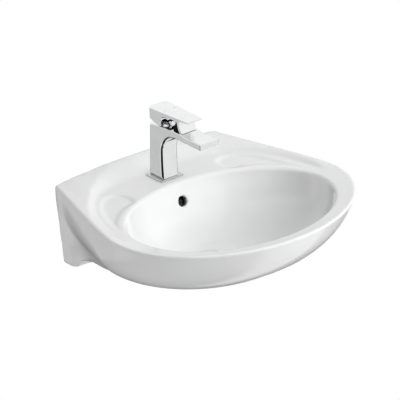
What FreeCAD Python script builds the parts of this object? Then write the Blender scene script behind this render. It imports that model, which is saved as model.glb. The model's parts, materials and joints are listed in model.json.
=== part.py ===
import FreeCAD, Part
import math
import os

from FreeCAD import Placement, Rotation, Vector

# Wall hung basin with a single lever mixer and a push open waste.
# Millimetres. The wall is the plane y = 0 and the basin stands out of it towards -Y.
# +Z is up, z = 0 is the level of the rim, and x = 0 is the centre line.

# ---- basin: rim outline and outer shell ----
basin_width = 505.0            # widest place of the rim
basin_depth = 436.0            # wall to the front of the rim
front_depth = 186.0            # widest place of the rim to its front
rim_centre_y = front_depth - basin_depth
wall_width = 368.0             # width of the basin at the wall
side_ease = 39.5               # how softly the front curve turns into the straight sides
shell_depth = 155.0            # rim to the lowest point of the shell
shell_wall = 10.0              # thickness of the outer shell
shell_shift = 64.0             # how far the shell's centre moves back on its way down
rim_edge_r = 4.5               # rounding of the rim's outer edge
rim_lead = 0.82                # the front overhangs, so its rounded edge ends this share of the radius short

# ---- basin: top surface ----
deck_z = -6.5                  # tap deck and soap dishes
deck_thickness = 13.5
arch_height = 9.5              # the back edge rises this much in the middle
arch_flat = 110.0              # width of the level middle of the back edge
arch_reach = 110.0             # the rise fades out this far from the wall
dish_depth = 3.0               # soap dishes below the deck

# ---- basin: bowl ----
side_rim = 47.0                # widest place of the rim to the bowl's edge
front_rim = 32.0               # front of the rim to the bowl's edge
deck_run = 116.0               # wall to the bowl's back edge
bowl_width = basin_width - 2.0 * side_rim
bowl_length = basin_depth - front_rim - deck_run
bowl_centre_y = -deck_run - bowl_length / 2.0
bowl_z = -6.0                  # level of the bowl's edge
under_bowl = 30.0              # the bowl's floor above the lowest point of the shell
bowl_floor_z = under_bowl - shell_depth
bowl_wall = 11.0

# ---- basin: wall side ----
bracket_bottom_z = -155.0
bracket_width_in = 127.0       # inner faces of the brackets, from the centre line
bracket_depth = 32.0           # at the bottom
bracket_corner_r = 12.0
panel_thickness = 14.0
panel_bottom_z = -72.0
bolt_spacing = 200.0
bolt_hole_r = 7.0
bolt_z = -50.0

# ---- basin: overflow and waste seat ----
overflow_r = 9.75
overflow_z = -39.0
duct_width = 34.0
duct_gap = 10.0
duct_wall = 8.0
waste_behind_centre = 52.0     # the waste lies behind the middle of the bowl
waste_y = bowl_centre_y + waste_behind_centre
waste_hole_r = 23.0
waste_seat_r = 34.0
waste_seat_depth = 4.0
waste_pad_r = 34.0

# ---- tap ----
tap_hole_r = 17.5
tap_behind_bowl = 36.0         # tap hole's centre behind the bowl's edge
tap_hole_y = tap_behind_bowl - deck_run
gasket_thickness = 0.5
plate_x = 52.0
plate_y = 44.0
plate_thickness = 2.0
plate_centre_y = tap_hole_y + 1.0
column_width = 37.5
column_back_y = tap_hole_y + 20.5
column_front_y = tap_hole_y - 14.0
arch_depth = 42.0              # the curve under the spout is a quarter of an ellipse
arch_rise = 37.0
arch_centre_y = column_front_y - arch_depth
arch_centre_z = deck_z + 56.5
spout_tip_y = tap_hole_y - 122.0
spout_width = 43.0
spout_under_z = deck_z + 95.1
spout_top_z = deck_z + 105.5
body_corner_r = 4.5
column_flare = 3.5             # the column's front runs forward this much at its foot
head_y = tap_hole_y - 7.0      # where the cartridge's axis meets the top of the body
head_z = deck_z + 102.4
head_tilt = 4.08               # degrees that the body's top rises towards the front

# ---- aerator ----
aerator_y = spout_tip_y + 13.0
aerator_r = 9.0
aerator_height = 6.0

# ---- cartridge, along its own axis, 0 at the top of the body ----
cartridge_r = 12.4
bore_clearance = 0.2
cartridge_floor = -22.0
seal_height = 1.0
base_height = 4.0
disc_height = 2.5
fixed_disc_r = 10.6
moving_disc_r = 8.4
carrier_height = 3.0
housing_wall = 1.2
pivot_w = -5.0                 # the stem tips about this level
pivot_pin_r = 1.0
stem_side = 6.0
stem_top = 17.0
stem_lean = 11.0               # degrees that the stem leans forward when the tap is shut
stem_foot_r = 1.6
lift_angle = 22.0              # full travel of the handle
nut_r = 13.9
nut_height = 3.0               # of the nut's screwed part, below the body's top
nut_neck_r = 12.2              # the part that stands up into the dome
nut_neck_height = 1.6
dome_r = 15.0
dome_height = 9.0
dome_opening_r = 9.0
running_clearance = 0.05
part_gap = 0.3

# ---- handle, s forward from the cartridge's axis and w above the body's top ----
handle_width = 43.0
handle_tip_width = 32.0
handle_gap = 0.5
handle_wall = 2.5
dot_r = 0.9
dot_height = 0.35

# ---- fixing under the deck ----
stud_r = 4.0
stud_y = tap_hole_y + 11.0
stud_length = 66.0
washer_r = 24.0
washer_rubber_t = 3.0
washer_steel_t = 2.0
nut_across = 13.0
nut_t = 6.5
inlet_r = 4.5
inlet_depth = 12.0
inlet_x = 7.6
inlet_y = tap_hole_y - 4.0

# ---- waste ----
waste_tube_r = 20.95           # the tail that takes the trap
waste_neck_r = 20.6            # the tube above it, inside the nut
waste_relief = 0.5             # the tail starts this far below the nut
waste_tube_wall = 2.3
waste_flange_r = 32.0
waste_flange_t = 2.2
waste_seal_t = 1.5
waste_tail = 15.0              # of the tube, below the china
waste_bottom_z = -shell_depth - waste_tail
waste_gasket_t = 4.0
waste_nut_t = 6.0
waste_nut_across = 54.0
window_width = 14.0            # the waste's overflow windows
window_height = 10.0
window_below_seat = 5.0
plug_r = 30.5
plug_t = 3.2
plug_travel = 8.0
plug_stem_r = 3.0
click_r = 7.5


# ---- small helpers ----

def block(x0, x1, y0, y1, z0, z1):
    return Part.makeBox(x1 - x0, y1 - y0, z1 - z0, Vector(x0, y0, z0))


def rod(r, x, y, z0, z1):
    return Part.makeCylinder(r, z1 - z0, Vector(x, y, z0))


def tube(r_out, r_in, x, y, z0, z1):
    inner = rod(r_in, x, y, z0 - 1.0, z1 + 1.0)
    return rod(r_out, x, y, z0, z1).cut(inner)


def cross_rod(r, x0, x1, y, z):
    return Part.makeCylinder(r, x1 - x0, Vector(x0, y, z), Vector(1, 0, 0))


def hexagon(across, x, y, z0, z1):
    r = across / math.sqrt(3.0)
    points = []
    for i in range(7):
        a = math.radians(60.0 * i + 30.0)
        points.append(Vector(x + r * math.cos(a), y + r * math.sin(a), z0))
    face = Part.Face(Part.makePolygon(points))
    return face.extrude(Vector(0, 0, z1 - z0))


def closed_spline(points):
    curve = Part.BSplineCurve()
    curve.interpolate(Points=points, PeriodicFlag=True)
    return Part.Wire([curve.toShape()])


def open_spline(points):
    curve = Part.BSplineCurve()
    curve.interpolate(Points=points)
    return curve.toShape()


def ellipse_wire(half_x, half_y, y, z):
    """A flat ellipse, whichever way is the longer."""
    count = 24
    points = []
    for i in range(count):
        a = 2.0 * math.pi * i / count
        points.append(Vector(half_x * math.sin(a), y + half_y * math.cos(a), z))
    return closed_spline(points)


def union(shapes):
    first = shapes[0]
    if len(shapes) == 1:
        return first
    return first.fuse(shapes[1:]).removeSplitter()


def mirrored(shape):
    return shape.mirror(Vector(0, 0, 0), Vector(1, 0, 0))


# ---- basin ----

beyond_wall = 20.0             # sections run this far past the wall and are trimmed there


def shell_level(share, inset):
    """Half width, centre, front reach and half width at the back of one level, share of the way down."""
    half = (basin_width / 2.0 - inset) * (1.0 - share ** 3.3)
    centre = rim_centre_y + shell_shift * share ** 0.85
    reach = basin_depth + rim_centre_y + rim_lead * rim_edge_r
    front = (reach - inset) * (1.0 - share ** 3.7)
    at_back = (wall_width / 2.0 - inset) * (1.0 - 0.4 * share ** 2)
    return half, centre, front, min(at_back, 0.8 * half)


def shell_section(share, z, inset):
    """One level of the shell: half an ellipse in front, nearly straight sides, rounded off behind."""
    half, centre, front, at_back = shell_level(share, inset)
    low = max(0.0, share - 0.66) / 0.34
    back_y = min(0.0, centre * low) if low < 0.9 else centre + 2.0
    cap = min(60.0, 0.75 * half)
    slope = (half - at_back) / max(1.0, math.hypot(back_y - centre, side_ease) - side_ease)
    side = []
    steps = 6
    for i in range(steps + 1):
        y = back_y + (centre - back_y) * i / steps
        x = half - slope * (math.hypot(y - centre, side_ease) - side_ease)
        side.append(Vector(x, y, z))
    points = []
    for i in range(1, 4):
        a = math.pi / 2.0 - math.pi * i / 8.0
        points.append(Vector(side[0].x * math.cos(a), back_y + cap * math.sin(a), z))
    points += side
    arc_steps = 9
    for i in range(1, arc_steps):
        a = math.pi / 2.0 * i / arc_steps
        points.append(Vector(half * math.cos(a), centre - front * math.sin(a), z))
    left = [Vector(-p.x, p.y, z) for p in reversed(points)]
    crown = [Vector(0, back_y + cap, z)]
    return closed_spline(crown + points + [Vector(0, centre - front, z)] + left)


shell_shares = (0.0, 0.1, 0.2, 0.32, 0.44, 0.56, 0.66, 0.75, 0.83, 0.9, 0.95, 0.98)


def shell_solid(inset, top_z, lowest_share):
    """The shell's outer form, or its hollow when inset by the wall."""
    depth = shell_depth - inset
    inside = [share for share in shell_shares if share <= lowest_share]
    below_top = [share for share in inside if share * depth > -top_z]
    wires = [shell_section(-top_z / depth, top_z, inset)]
    for share in below_top:
        wires.append(shell_section(share, -share * depth, inset))
    return Part.makeLoft(wires, True, False)


def bowl_levels():
    """z, half width, half length and centre of the bowl's inside."""
    half = bowl_width / 2.0
    length = bowl_length / 2.0
    fall = bowl_floor_z - bowl_z
    last_shift = waste_y - bowl_centre_y
    rows = (
        (-0.02, 1.005, 1.005, 0.0),
        (0.29, 0.96, 0.92, -0.05),
        (0.61, 0.857, 0.812, -0.01),
        (0.8, 0.72, 0.688, 0.18),
        (0.91, 0.525, 0.5, 0.45),
        (0.975, 0.3, 0.3, 0.8),
        (1.0, 0.18, 0.245, 0.97),
    )
    return [(bowl_z + fall * k, half * a, length * b, bowl_centre_y + last_shift * c) for k, a, b, c in rows]


def bowl_solid(offset, top_z):
    """The bowl's inside, or the outer face of its wall when offset by the wall."""
    wires = []
    for z, half, length, centre in bowl_levels():
        share = (bowl_z - z) / (bowl_z - bowl_floor_z)
        level = min(top_z, z) - offset * max(0.0, share) ** 3
        wires.append(ellipse_wire(half + offset, length + offset, centre, level))
    return Part.makeLoft(wires, True, False)


def mirrored_points(points, z):
    """A closed outline from its left half, given from the back to the front, ends on the centre line."""
    left = [Vector(x, y, z) for x, y in points]
    right = [Vector(-p.x, p.y, z) for p in reversed(left[1:-1])]
    return left + right


def on_plan(shares):
    """Points of the plan from shares of the half width and of the depth."""
    return [(a * basin_width / 2.0, b * basin_depth) for a, b in shares]


def recess_cutter():
    """What is taken off the top: the sunken deck, its C shaped wall, and the fall of the rim to the bowl."""
    low = ((0, -0.133), (-0.238, -0.131), (-0.428, -0.138), (-0.594, -0.174), (-0.713, -0.245),
           (-0.804, -0.344), (-0.855, -0.431), (-0.879, -0.516), (-0.84, -0.665), (-0.634, -0.826),
           (-0.337, -0.911), (0, -0.954))
    mid = ((0, -0.085), (-0.238, -0.085), (-0.412, -0.096), (-0.594, -0.142), (-0.741, -0.222),
           (-0.848, -0.314), (-0.915, -0.42), (-0.962, -0.539), (-0.935, -0.688), (-0.752, -0.835),
           (-0.396, -0.952), (0, -0.986))
    high = ((0, -0.018), (-0.238, -0.021), (-0.4, -0.05), (-0.598, -0.103), (-0.78, -0.188),
            (-0.903, -0.284), (-0.99, -0.404), (-1.061, -0.546), (-1.046, -0.716), (-0.871, -0.899),
            (-0.467, -1.023), (0, -1.06))
    rise = arch_height
    wires = [
        closed_spline(mirrored_points(on_plan(low), deck_z)),
        closed_spline(mirrored_points(on_plan(mid), 0.0)),
        closed_spline(mirrored_points(on_plan(high), rise)),
    ]
    cone = Part.makeLoft(wires, True, True)
    lid = Part.Face(wires[2]).extrude(Vector(0, 0, 20.0))
    return cone.fuse(lid)


def dish_cutter():
    """The left soap dish, between the deck's wall and the bowl."""
    rim = ((-0.4, -0.257), (-0.412, -0.213), (-0.483, -0.183), (-0.594, -0.193), (-0.697, -0.257),
           (-0.78, -0.344), (-0.824, -0.44), (-0.816, -0.495), (-0.764, -0.436), (-0.673, -0.374),
           (-0.554, -0.328), (-0.451, -0.31))
    (middle_x, middle_y), = on_plan(((-0.614, -0.321),))
    wires = []
    for z, share in ((deck_z + 1.0, 1.1), (deck_z, 1.0), (deck_z - dish_depth, 0.72)):
        points = []
        for x, y in on_plan(rim):
            points.append(Vector(middle_x + (x - middle_x) * share, middle_y + (y - middle_y) * share, z))
        wires.append(closed_spline(points))
    return Part.makeLoft(wires, True, True)


def back_arch():
    """The low rise of the back edge, fading out towards the bowl."""
    half = wall_width / 2.0 - 2.0 * rim_edge_r
    base = deck_z - 2.0
    outline = []
    for i in range(13):
        x = half - 2.0 * half * i / 12
        run = max(0.0, abs(x) - arch_flat / 2.0) / (half - arch_flat / 2.0)
        outline.append((x, arch_height * (1.0 - run * run * (3.0 - 2.0 * run))))
    wires = []
    for y, share in ((beyond_wall, 1.0), (0.0, 1.0), (-arch_reach, 0.0)):
        top = open_spline([Vector(x, y, z * share - 0.02 * (1.0 - share)) for x, z in outline])
        corners = [Vector(-half, y, -0.02 * (1.0 - share)), Vector(-half, y, base),
                   Vector(half, y, base), Vector(half, y, -0.02 * (1.0 - share))]
        sides = [Part.LineSegment(a, b).toShape() for a, b in zip(corners, corners[1:])]
        wires.append(Part.Wire([top] + sides))
    return Part.makeLoft(wires, True, True)


def bracket():
    """Right hand wall bracket: a foot on the wall that widens forward as it rises into the side."""
    z0 = bracket_bottom_z
    rows = (
        (z0, wall_width / 2.0 - 17.0, bracket_depth, -0.1),
        (z0 + 40.0, wall_width / 2.0 - 9.5, bracket_depth + 6.0, 0.0),
        (z0 + 85.0, wall_width / 2.0 - 4.0, bracket_depth + 20.0, 0.15),
        (z0 + 125.0, wall_width / 2.0 - 3.5, bracket_depth + 38.0, 0.24),
        (deck_z - 4.0, wall_width / 2.0 - 5.0, bracket_depth + 46.0, 0.22),
    )
    wires = []
    for z, outer, depth, spread in rows:
        back_outer = Vector(outer, beyond_wall, z)
        corner = Vector(outer + spread * depth, -depth, z)
        direction = (corner - back_outer).normalize()
        before = corner - direction * bracket_corner_r
        after = Vector(corner.x - bracket_corner_r, -depth, z)
        middle = corner + (before + after - corner * 2.0) * 0.27
        inner = Vector(bracket_width_in, -depth, z)
        back_inner = Vector(bracket_width_in, beyond_wall, z)
        wires.append(Part.Wire([
            Part.LineSegment(back_outer, before).toShape(),
            Part.Arc(before, middle, after).toShape(),
            Part.LineSegment(after, inner).toShape(),
            Part.LineSegment(inner, back_inner).toShape(),
            Part.LineSegment(back_inner, back_outer).toShape(),
        ]))
    return Part.makeLoft(wires, True, False)


def bowl_back_y(z):
    """The bowl's back wall on the centre line, by level."""
    rows = bowl_levels()
    for (za, _, la, ca), (zb, _, lb, cb) in zip(rows, rows[1:]):
        if zb <= z <= za:
            share = (za - z) / (za - zb)
            return (ca + la) * (1.0 - share) + (cb + lb) * share
    return rows[-1][3] + rows[-1][2]


def duct_outline(grow):
    """Side view of the overflow duct: down behind the bowl and forward to the waste hole."""
    top = overflow_z + overflow_r + 1.0
    low = bowl_floor_z - 6.0
    near = bowl_wall - 2.0
    far = near + duct_gap
    turn_z = bowl_floor_z + 18.0
    turn = bowl_back_y(turn_z)
    reach = waste_y + waste_hole_r - 4.0
    return [
        (bowl_back_y(top) + near - grow, top + grow),
        (bowl_back_y(top) + far + grow, top + grow),
        (turn + far + grow, turn_z - 8.0),
        (turn + far - 18.0 + grow * 0.4, low - 9.0 - grow),
        (reach, low - 9.0 - grow),
        (reach, low + grow),
        (turn + near - 10.0 - grow, low + grow),
        (turn + near - grow, turn_z),
    ]


def duct(grow):
    half = duct_width / 2.0 + grow
    points = [Vector(-half, y, z) for y, z in duct_outline(grow)]
    points.append(points[0])
    face = Part.Face(Part.makePolygon(points))
    return face.extrude(Vector(2.0 * half, 0, 0))


def overflow_bore():
    """Round hole square to the bowl's back wall."""
    slope = (bowl_back_y(overflow_z + 10.0) - bowl_back_y(overflow_z - 10.0)) / 20.0
    into_bowl = Vector(0, -1.0, slope).normalize()
    centre = Vector(0, bowl_back_y(overflow_z), overflow_z)
    start = centre - into_bowl * (bowl_wall + 2.0)
    return Part.makeCylinder(overflow_r, bowl_wall + 18.0, start, into_bowl)


def shell_hollow():
    """Open space inside the skirts and behind the bowl, reached from the wall side."""
    room = shell_solid(shell_wall, deck_z - deck_thickness, 0.84)
    low = min(bracket_bottom_z, -shell_depth) - 15.0
    behind = block(-bracket_width_in, bracket_width_in, -95.0, beyond_wall, low, deck_z - deck_thickness)
    return room.fuse(behind)


def basin():
    body = shell_solid(0.0, 0.0, 1.0)
    rim = [e for e in body.Edges if e.BoundBox.ZMin > -0.01]
    body = body.makeFillet(rim_edge_r, rim)
    body = body.cut(shell_hollow())
    foot = bracket()
    wall_side = [foot, mirrored(foot)]
    wall_side.append(block(-bracket_width_in - 5.0, bracket_width_in + 5.0, -panel_thickness, 5.0,
                           panel_bottom_z, deck_z - 4.0))
    wall_side.append(bowl_solid(bowl_wall, deck_z - 5.0))
    wall_side.append(duct(duct_wall))
    wall_side.append(rod(waste_pad_r, 0, waste_y, -shell_depth, bowl_floor_z - 8.0))
    wall_side.append(back_arch())
    body = body.fuse(wall_side)
    cutters = [recess_cutter(), bowl_solid(0.0, bowl_z + 2.0)]
    cutters.append(dish_cutter())
    cutters.append(mirrored(dish_cutter()))
    cutters.append(rod(tap_hole_r, 0, tap_hole_y, -60.0, 20.0))
    cutters.append(rod(waste_hole_r, 0, waste_y, -shell_depth - 15.0, bowl_floor_z + 25.0))
    cutters.append(rod(waste_seat_r, 0, waste_y, bowl_floor_z - waste_seat_depth, bowl_floor_z + 25.0))
    cutters.append(duct(0.0))
    cutters.append(overflow_bore())
    for side in (-1, 1):
        bolt = Part.makeCylinder(bolt_hole_r, panel_thickness + 10.0,
                                 Vector(side * bolt_spacing / 2.0, 5.0, bolt_z), Vector(0, -1, 0))
        cutters.append(bolt)
    cutters.append(block(-400, 400, 0.0, 100.0, -300, 100))
    for cutter in cutters:
        body = body.cut(cutter)
    return body


# ---- tap body ----

plate_z = deck_z + gasket_thickness
body_z = plate_z + plate_thickness


def head_frame():
    """Frame of the cartridge: its axis leans with the top of the body, and its -Y points forward."""
    return Placement(Vector(0, head_y, head_z), Rotation(Vector(1, 0, 0), -head_tilt))


def at_head(shape):
    placed = shape.copy()
    placed.Placement = head_frame().multiply(placed.Placement)
    return placed


def on_body_top(s):
    """Point on the body's sloping top, s forward from the cartridge's axis."""
    return head_frame().multVec(Vector(0, -s, 0))


def side_face(edges, half):
    """Solid between x = -half and x = half from a closed outline drawn at x = 0."""
    face = Part.Face(Part.Wire(edges))
    face.translate(Vector(-half, 0, 0))
    return face.extrude(Vector(2.0 * half, 0, 0))


def line(a, b):
    return Part.LineSegment(a, b).toShape()


sweep_start = 60.0             # forward end of the body's flat top, from the cartridge's axis
sweep_length = 19.0            # the top curves down to the spout over this length
spout_bevel = 1.2              # the spout's end face leans by this much


def tap_side_outline():
    """Column, arch under the spout, spout and sloping top, seen from the side."""
    back_top = on_body_top(column_back_y * -1.0 + head_y)
    front_top = on_body_top(sweep_start)
    spout_root = Vector(0, front_top.y - sweep_length, spout_top_z - 1.2)
    tip_top = Vector(0, spout_tip_y + spout_bevel, spout_top_z)
    tip_low = Vector(0, spout_tip_y, spout_under_z)
    back_low = Vector(0, column_back_y, body_z)
    front_low = Vector(0, column_front_y - column_flare, body_z)
    flare_mid = Vector(0, front_low.y + 0.75 * column_flare, (body_z + arch_centre_z) / 2.0)
    sweep_mid = Vector(0, (front_top.y + spout_root.y) / 2.0,
                       front_top.z * 0.2 + spout_root.z * 0.8)
    arch = []
    steps = 6
    for i in range(steps + 1):
        a = math.pi / 2.0 * i / steps
        y = arch_centre_y + arch_depth * math.cos(a)
        arch.append(Vector(0, y, arch_centre_z + arch_rise * math.sin(a)))
    return [
        line(back_low, back_top),
        line(back_top, front_top),
        Part.Arc(front_top, sweep_mid, spout_root).toShape(),
        line(spout_root, tip_top),
        line(tip_top, tip_low),
        line(tip_low, arch[-1]),
        open_spline(arch),
        Part.Arc(arch[0], flare_mid, front_low).toShape(),
        line(front_low, back_low),
    ]


def tap_plan():
    """Column and spout seen from above: straight back, widening a little towards the spout's end."""
    half_back = column_width / 2.0
    half_tip = spout_width / 2.0
    narrow_to = column_front_y - 6.0
    right = ((half_back, column_back_y), (half_back, narrow_to), (half_tip, spout_tip_y))
    low = body_z - 1.0
    outline = [Vector(x, y, low) for x, y in right]
    outline += [Vector(-x, y, low) for x, y in reversed(right)]
    outline.append(outline[0])
    face = Part.Face(Part.makePolygon(outline))
    return face.extrude(Vector(0, 0, spout_top_z + 10.0 - low))


def cartridge_bore():
    return at_head(rod(cartridge_r + bore_clearance, 0, 0, cartridge_floor, 5.0))


def nut_bore():
    return at_head(rod(nut_r + bore_clearance, 0, 0, -nut_height, 5.0))


def water_ways():
    """Two inlets up to the cartridge and one outlet along the spout to the aerator."""
    cutters = []
    for side in (-1, 1):
        cutters.append(rod(inlet_r, side * inlet_x, inlet_y, body_z - 1.0, body_z + inlet_depth))
        cutters.append(rod(inlet_r - 1.7, side * inlet_x, inlet_y, body_z + inlet_depth - 1.0, head_z - 20.0))
    seat = spout_under_z + aerator_height
    way_z = seat - 2.5
    cutters.append(block(-5.0, 5.0, aerator_y, head_y - cartridge_r - 8.0, way_z - 1.5, way_z + 3.0))
    port = Part.makeCylinder(2.6, 32.0, Vector(0, head_y - 6.0, head_z - 24.0), Vector(0, -0.82, 0.57))
    cutters.append(port)
    cutters.append(rod(aerator_r + bore_clearance, 0, aerator_y, spout_under_z - 5.0, seat))
    return cutters


def tap_body():
    body = side_face(tap_side_outline(), spout_width / 2.0 + 1.0).common(tap_plan())
    soft = []
    for edge in body.Edges:
        box = edge.BoundBox
        side = min(abs(box.XMin), abs(box.XMax)) > column_width / 2.0 - 0.1
        front = box.YMax < column_front_y + 2.0 and box.ZMax < spout_under_z + 1.0
        back = box.YMin > column_back_y - 1.0 and box.ZLength > 40.0
        if side and box.XLength < 3.5 and box.ZMax > body_z + 1.0 and (front or back):
            soft.append(edge)
    body = body.makeFillet(body_corner_r, soft)
    cutters = water_ways()
    cutters.append(cartridge_bore())
    cutters.append(nut_bore())
    cutters.append(rod(stud_r, 0, stud_y, body_z - 1.0, body_z + 14.0))
    for cutter in cutters:
        body = body.cut(cutter)
    return body


def tap_base_plate():
    front = plate_centre_y - plate_y / 2.0
    plate = block(-plate_x / 2.0, plate_x / 2.0, front, front + plate_y, plate_z, body_z)
    upright = [e for e in plate.Edges if e.BoundBox.ZLength > 1.0]
    plate = plate.makeFillet(1.5, upright)
    return plate.cut(rod(tap_hole_r - 2.0, 0, tap_hole_y, plate_z - 1.0, body_z + 1.0))


def tap_base_gasket():
    edge = 2.0
    pad = block(-plate_x / 2.0 + edge, plate_x / 2.0 - edge, plate_centre_y - plate_y / 2.0 + edge,
                plate_centre_y + plate_y / 2.0 - edge, deck_z, plate_z)
    return pad.cut(rod(tap_hole_r - 1.0, 0, tap_hole_y, deck_z - 1.0, plate_z + 1.0))


deck_under_z = deck_z - deck_thickness


def horseshoe(z0, z1):
    """Clamping washer with a slot that leaves room for the supply hoses."""
    disc = rod(washer_r, 0, tap_hole_y, z0, z1)
    half = tap_hole_r - 2.0
    slot_back = inlet_y + inlet_r + 4.0
    slot = block(-half, half, tap_hole_y - washer_r - 1.0, slot_back, z0 - 1.0, z1 + 1.0)
    stud_hole = rod(stud_r + part_gap, 0, stud_y, z0 - 1.0, z1 + 1.0)
    return disc.cut(slot).cut(stud_hole)


def fixing_washer_rubber():
    return horseshoe(deck_under_z - washer_rubber_t, deck_under_z)


def fixing_washer_steel():
    top = deck_under_z - washer_rubber_t
    return horseshoe(top - washer_steel_t, top)


def fixing_nut():
    top = deck_under_z - washer_rubber_t - washer_steel_t
    nut = hexagon(nut_across, 0, stud_y, top - nut_t, top)
    return nut.cut(rod(stud_r, 0, stud_y, top - nut_t - 1.0, top + 1.0))


def fixing_stud():
    top = body_z + 14.0
    stud = rod(stud_r, 0, stud_y, top - stud_length, top)
    ends = [e for e in stud.Edges if e.BoundBox.ZLength < 0.01]
    return stud.makeChamfer(0.7, ends)


# ---- aerator in the spout ----

aerator_seat = spout_under_z + aerator_height


def aerator_washer():
    return tube(aerator_r - 0.3, aerator_r - 3.5, 0, aerator_y, aerator_seat - 1.0, aerator_seat)


def aerator_housing():
    low = spout_under_z + 0.6
    shell = tube(aerator_r, aerator_r - 1.6, 0, aerator_y, low, aerator_seat - 1.0)
    return shell


def aerator_insert():
    low = spout_under_z + 1.2
    disc = rod(aerator_r - 1.6, 0, aerator_y, low, aerator_seat - 1.0)
    step = 3.2
    for i in range(-2, 3):
        for j in range(-2, 3):
            if math.hypot(i, j) * step < aerator_r - 3.2:
                hole = block(i * step - 1.1, i * step + 1.1, aerator_y + j * step - 1.1,
                             aerator_y + j * step + 1.1, low - 1.0, aerator_seat)
                disc = disc.cut(hole)
    return disc


# ---- cartridge: every piece is drawn upright about its axis and placed by the head frame ----

base_low = cartridge_floor + seal_height
base_top = base_low + base_height
fixed_top = base_top + disc_height
moving_low = fixed_top + running_clearance
moving_top = moving_low + disc_height
carrier_top = moving_top + carrier_height
housing_top = -1.2
port_offset = 5.6
port_r = 2.2


def port_places():
    """Hot, cold and outlet ports: two at the sides and one in front."""
    return ((-port_offset, 2.0), (port_offset, 2.0), (0.0, -port_offset))


def with_ports(shape, r, z0, z1):
    for x, y in port_places():
        shape = shape.cut(rod(r, x, y, z0 - 1.0, z1 + 1.0))
    return shape


def cartridge_seals():
    rings = []
    for x, y in port_places():
        rings.append(tube(port_r + 1.1, port_r, x, y, cartridge_floor, base_low))
    return Part.makeCompound([at_head(r) for r in rings])


def cartridge_base():
    return at_head(with_ports(rod(cartridge_r, 0, 0, base_low, base_top), port_r, base_low, base_top))


def disc_fixed():
    return at_head(with_ports(rod(fixed_disc_r, 0, 0, base_top, fixed_top), port_r, base_top, fixed_top))


def disc_moving():
    disc = rod(moving_disc_r, 0, 0, moving_low, moving_top)
    pocket = rod(port_offset, 0, -1.0, moving_low - 1.0, moving_low + disc_height * 0.5)
    return at_head(disc.cut(pocket))


socket_floor = 0.5             # slipper left under the stem's foot
foot_w = moving_top + socket_floor + stem_foot_r + running_clearance * 2.0


def disc_carrier():
    """Plastic slipper on the moving disc. The stem's foot pushes it forward and back."""
    slipper = rod(moving_disc_r - 0.4, 0, 0, moving_top, carrier_top)
    foot_y = (pivot_w - foot_w) * math.sin(math.radians(stem_lean))
    reach = stem_foot_r + running_clearance * 2.0
    floor_w = moving_top + socket_floor
    socket = block(-reach, reach, foot_y - reach, foot_y + reach, floor_w, carrier_top + 1.0)
    return at_head(slipper.cut(socket))


def cartridge_housing():
    shell = rod(cartridge_r, 0, 0, base_top, housing_top)
    room = rod(cartridge_r - housing_wall, 0, 0, base_top - 1.0, housing_top - 1.2)
    mouth = rod(dome_opening_r, 0, 0, housing_top - 5.0, housing_top + 1.0)
    return at_head(shell.cut(room).cut(mouth))


turret_r = cartridge_r - housing_wall - running_clearance * 2.0
turret_top = housing_top - 1.2 - running_clearance
turret_low = carrier_top + 0.4


def stem_side_half():
    return stem_side / 2.0


def stem_carrier():
    """Turns in the housing with the handle. The stem tips in its slot on the pin."""
    drum = rod(turret_r, 0, 0, turret_low, turret_top)
    half = stem_side_half() + running_clearance
    slot = block(-half, half, -turret_r + 2.0, turret_r - 2.0, turret_low - 1.0, turret_top + 1.0)
    hole = cross_rod(pivot_pin_r, -turret_r - 1.0, turret_r + 1.0, 0, pivot_w)
    return at_head(drum.cut(slot).cut(hole))


def stem_pin():
    return at_head(cross_rod(pivot_pin_r, -turret_r + 0.2, turret_r - 0.2, 0, pivot_w))


def lean_about_pivot(shape):
    """Tip a piece forward by the stem's lean, about the pivot pin."""
    leaned = shape.copy()
    leaned.rotate(Vector(0, 0, pivot_w), Vector(1, 0, 0), stem_lean)
    return leaned


def stem():
    half = stem_side_half()
    bar = block(-half, half, -half, half, pivot_w - 2.4, stem_top)
    neck = rod(stem_foot_r - 0.6, 0, 0, foot_w, pivot_w)
    foot = Part.makeSphere(stem_foot_r, Vector(0, 0, foot_w))
    bar = bar.fuse([neck, foot]).removeSplitter()
    bar = bar.cut(cross_rod(pivot_pin_r + running_clearance, -half - 1.0, half + 1.0, 0, pivot_w))
    return at_head(lean_about_pivot(bar))


def retaining_nut():
    screwed = rod(nut_r, 0, 0, housing_top, 0.0)
    neck = rod(nut_neck_r, 0, 0, 0.0, nut_neck_height)
    mouth = rod(dome_opening_r, 0, 0, housing_top - 1.0, nut_neck_height + 1.0)
    return at_head(screwed.fuse(neck).cut(mouth).removeSplitter())


def cartridge_dome():
    """Chrome cap over the nut, open in the middle for the stem."""
    centre_w = dome_height - dome_r
    wall = 0.9
    cap = Part.makeSphere(dome_r * 1.12, Vector(0, 0, centre_w + dome_r * -0.12))
    cap = cap.common(rod(dome_r, 0, 0, 0.0, dome_height - 0.8))
    hollow = Part.makeSphere(dome_r * 1.12 - wall, Vector(0, 0, centre_w + dome_r * -0.12))
    hollow = hollow.common(rod(dome_r - wall, 0, 0, -1.0, dome_height + 1.0))
    opening = rod(dome_opening_r, 0, 0, -1.0, dome_height + 2.0)
    return at_head(cap.cut(hollow).cut(opening))


# ---- handle ----

handle_back = -26.0            # forward distance s of the back edge
handle_back_top = 31.0         # w of the top edge at the back
handle_tip_s = 78.0
handle_tip_w = 25.4
blade_tip_t = 2.6
handle_front_s = 61.0          # foot of the front wall
front_wall_t = 3.0
roof_w = 22.5                  # underside of the roof above the cartridge
floor_end = -12.0              # the rear floor stops short of the dome, with the handle up or down
bite_start = 3.0               # side openings, along s
bite_end = 53.0


def sw(s, w):
    return Vector(0, -s, w)


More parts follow.
